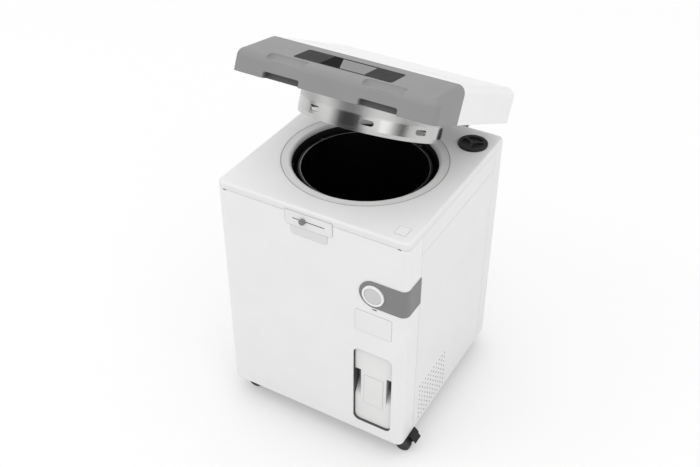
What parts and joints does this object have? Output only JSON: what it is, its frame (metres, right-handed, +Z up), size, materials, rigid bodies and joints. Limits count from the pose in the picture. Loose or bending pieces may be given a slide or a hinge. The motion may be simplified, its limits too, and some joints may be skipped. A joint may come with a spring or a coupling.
{
  "type": "laboratory autoclave",
  "caption": "Top-loading laboratory autoclave on casters, with a hinged lid and lock ring over a round pressure chamber.",
  "frame": {"origin": "on the floor, below the centre line of the round chamber", "axes": "+Z up, -Y towards the user in front, +X to the user's right"},
  "size_m": [0.6534, 0.7198, 1.1691],
  "materials": {
    "white_enamel": "satin powder coat",
    "black_enamel": "matt black",
    "white_plastic": "satin moulded",
    "light_grey_plastic": "satin moulded",
    "grey_plastic": "satin moulded",
    "black_plastic": "matt moulded",
    "tread_rubber": "matt tread",
    "bright_steel": "polished",
    "label_foil": "bare satin plate",
    "valve_brass": "machined",
    "seal_rubber": "silicone",
    "jacket_wool": "pressed mineral wool",
    "keypad_film": "satin film",
    "dark_glass": "polished"
  },
  "bodies": {
    "cabinet": {"top_cover": "white_enamel", "front_panel": "white_enamel", "rear_panel": "white_enamel", "right_side_panel": "white_enamel", "left_side_panel": "white_enamel", "side_rails": "white_enamel", "base_frame": "black_enamel", "head_plate": "black_enamel", "collar_ring": "light_grey_plastic", "pressure_vessel": "bright_steel", "band_heater": "bright_steel", "insulation_jacket": "jacket_wool", "chamber_grid": "bright_steel", "striker_plate": "bright_steel", "corner_band": "grey_plastic", "button_bezel": "white_plastic", "indicator_lens": "dark_glass", "label_plates": "label_foil", "tank_bay": "white_enamel", "water_reservoir": "white_plastic", "drain_pipe": "bright_steel", "drain_valve": "valve_brass", "safety_valve": "valve_brass", "control_box": "black_enamel", "cable_gland": "black_plastic", "hinge_bracket": "black_enamel", "hinge_pin": "bright_steel", "hinge_springs": "bright_steel", "caster_plates": "bright_steel"},
    "lid": {"lid_front_cover": "grey_plastic", "lid_rear_cover": "white_plastic", "lid_base": "white_enamel", "pressure_lid": "bright_steel", "lid_gasket": "seal_rubber", "lid_lock_ring": "bright_steel", "keypad_panel": "keypad_film", "display_screen": "dark_glass"},
    "latch": {"latch_knob": "grey_plastic"},
    "cam": {"cam_ring": "bright_steel"},
    "lock_pin_1": {"lock_pin_1": "bright_steel"},
    "lock_pin_2": {"lock_pin_2": "bright_steel"},
    "lock_pin_3": {"lock_pin_3": "bright_steel"},
    "lock_pin_4": {"lock_pin_4": "bright_steel"},
    "lock_pin_5": {"lock_pin_5": "bright_steel"},
    "lock_pin_6": {"lock_pin_6": "bright_steel"},
    "lock_pin_7": {"lock_pin_7": "bright_steel"},
    "lock_pin_8": {"lock_pin_8": "bright_steel"},
    "start_button": {"start_button": "light_grey_plastic"},
    "filler_cap": {"filler_cap": "black_plastic"},
    "waste_tank": {"waste_tank": "white_plastic"},
    "caster_fork_front_left": {"caster_fork_front_left": "black_plastic"},
    "caster_wheels_front_left": {"caster_wheels_front_left": "tread_rubber"},
    "brake_pedal_left": {"brake_pedal_left": "black_plastic"},
    "caster_fork_front_right": {"caster_fork_front_right": "black_plastic"},
    "caster_wheels_front_right": {"caster_wheels_front_right": "tread_rubber"},
    "brake_pedal_right": {"brake_pedal_right": "black_plastic"},
    "caster_fork_rear_left": {"caster_fork_rear_left": "black_plastic"},
    "caster_wheels_rear_left": {"caster_wheels_rear_left": "tread_rubber"},
    "caster_fork_rear_right": {"caster_fork_rear_right": "black_plastic"},
    "caster_wheels_rear_right": {"caster_wheels_rear_right": "tread_rubber"}
  },
  "joints": [
    {"name": "lid_hinge", "type": "hinge", "parent": "cabinet", "child": "lid", "pos_m": [0, 0.38, 0.792], "axis": [-1, 0, 0], "range_deg": [-26, 44]},
    {"name": "latch_slide", "type": "slide", "parent": "cabinet", "child": "latch", "axis": [1, 0, 0], "range_m": [-0.029, 0.06]},
    {"name": "cam_turn", "type": "hinge", "parent": "cabinet", "child": "cam", "pos_m": [0, 0, 0.7666], "axis": [0, 0, 1], "range_deg": [-6, 12.2]},
    {"name": "pin_slide_1", "type": "slide", "parent": "cabinet", "child": "lock_pin_1", "axis": [0.9239, 0.3827, 0], "range_m": [-0.0076, 0.0038]},
    {"name": "pin_slide_2", "type": "slide", "parent": "cabinet", "child": "lock_pin_2", "axis": [0.3827, 0.9239, 0], "range_m": [-0.0076, 0.0038]},
    {"name": "pin_slide_3", "type": "slide", "parent": "cabinet", "child": "lock_pin_3", "axis": [-0.3827, 0.9239, 0], "range_m": [-0.0076, 0.0038]},
    {"name": "pin_slide_4", "type": "slide", "parent": "cabinet", "child": "lock_pin_4", "axis": [-0.9239, 0.3827, 0], "range_m": [-0.0076, 0.0038]},
    {"name": "pin_slide_5", "type": "slide", "parent": "cabinet", "child": "lock_pin_5", "axis": [-0.9239, -0.3827, 0], "range_m": [-0.0076, 0.0038]},
    {"name": "pin_slide_6", "type": "slide", "parent": "cabinet", "child": "lock_pin_6", "axis": [-0.3827, -0.9239, 0], "range_m": [-0.0076, 0.0038]},
    {"name": "pin_slide_7", "type": "slide", "parent": "cabinet", "child": "lock_pin_7", "axis": [0.3827, -0.9239, 0], "range_m": [-0.0076, 0.0038]},
    {"name": "pin_slide_8", "type": "slide", "parent": "cabinet", "child": "lock_pin_8", "axis": [0.9239, -0.3827, 0], "range_m": [-0.0076, 0.0038]},
    {"name": "button_press", "type": "slide", "parent": "cabinet", "child": "start_button", "axis": [0, 1, 0], "range_m": [0, 0.004], "stiffness_N_per_m": 500, "springref_m": -0.006},
    {"name": "cap_lift", "type": "slide", "parent": "cabinet", "child": "filler_cap", "axis": [0, 0, 1], "range_m": [0, 0.05]},
    {"name": "tank_slide", "type": "slide", "parent": "cabinet", "child": "waste_tank", "axis": [0, -1, 0], "range_m": [0, 0.14]},
    {"name": "swivel_front_left", "type": "hinge", "parent": "cabinet", "child": "caster_fork_front_left", "pos_m": [-0.273, -0.247, 0.0592], "axis": [0, 0, 1], "continuous": true},
    {"name": "wheel_front_left", "type": "hinge", "parent": "caster_fork_front_left", "child": "caster_wheels_front_left", "pos_m": [-0.253, -0.247, 0.025], "axis": [0, 1, 0], "continuous": true},
    {"name": "pedal_left", "type": "hinge", "parent": "caster_fork_front_left", "child": "brake_pedal_left", "pos_m": [-0.233, -0.247, 0.0518], "axis": [0, -1, 0], "range_deg": [0, 20]},
    {"name": "swivel_front_right", "type": "hinge", "parent": "cabinet", "child": "caster_fork_front_right", "pos_m": [0.273, -0.247, 0.0592], "axis": [0, 0, 1], "continuous": true},
    {"name": "wheel_front_right", "type": "hinge", "parent": "caster_fork_front_right", "child": "caster_wheels_front_right", "pos_m": [0.293, -0.247, 0.025], "axis": [0, 1, 0], "continuous": true},
    {"name": "pedal_right", "type": "hinge", "parent": "caster_fork_front_right", "child": "brake_pedal_right", "pos_m": [0.313, -0.247, 0.0518], "axis": [0, -1, 0], "range_deg": [0, 20]},
    {"name": "swivel_rear_left", "type": "hinge", "parent": "cabinet", "child": "caster_fork_rear_left", "pos_m": [-0.273, 0.247, 0.0592], "axis": [0, 0, 1], "continuous": true},
    {"name": "wheel_rear_left", "type": "hinge", "parent": "caster_fork_rear_left", "child": "caster_wheels_rear_left", "pos_m": [-0.293, 0.247, 0.025], "axis": [0, 1, 0], "continuous": true},
    {"name": "swivel_rear_right", "type": "hinge", "parent": "cabinet", "child": "caster_fork_rear_right", "pos_m": [0.273, 0.247, 0.0592], "axis": [0, 0, 1], "continuous": true},
    {"name": "wheel_rear_right", "type": "hinge", "parent": "caster_fork_rear_right", "child": "caster_wheels_rear_right", "pos_m": [0.253, 0.247, 0.025], "axis": [0, 1, 0], "continuous": true}
  ],
  "couplings": [
    {"joint": "cam_turn", "follows": "latch_slide", "rad_per_m": 3.5026},
    {"joint": "pin_slide_1", "follows": "latch_slide", "ratio": -0.1236},
    {"joint": "pin_slide_2", "follows": "latch_slide", "ratio": -0.1236},
    {"joint": "pin_slide_3", "follows": "latch_slide", "ratio": -0.1236},
    {"joint": "pin_slide_4", "follows": "latch_slide", "ratio": -0.1236},
    {"joint": "pin_slide_5", "follows": "latch_slide", "ratio": -0.1236},
    {"joint": "pin_slide_6", "follows": "latch_slide", "ratio": -0.1236},
    {"joint": "pin_slide_7", "follows": "latch_slide", "ratio": -0.1236},
    {"joint": "pin_slide_8", "follows": "latch_slide", "ratio": -0.1236}
  ]
}
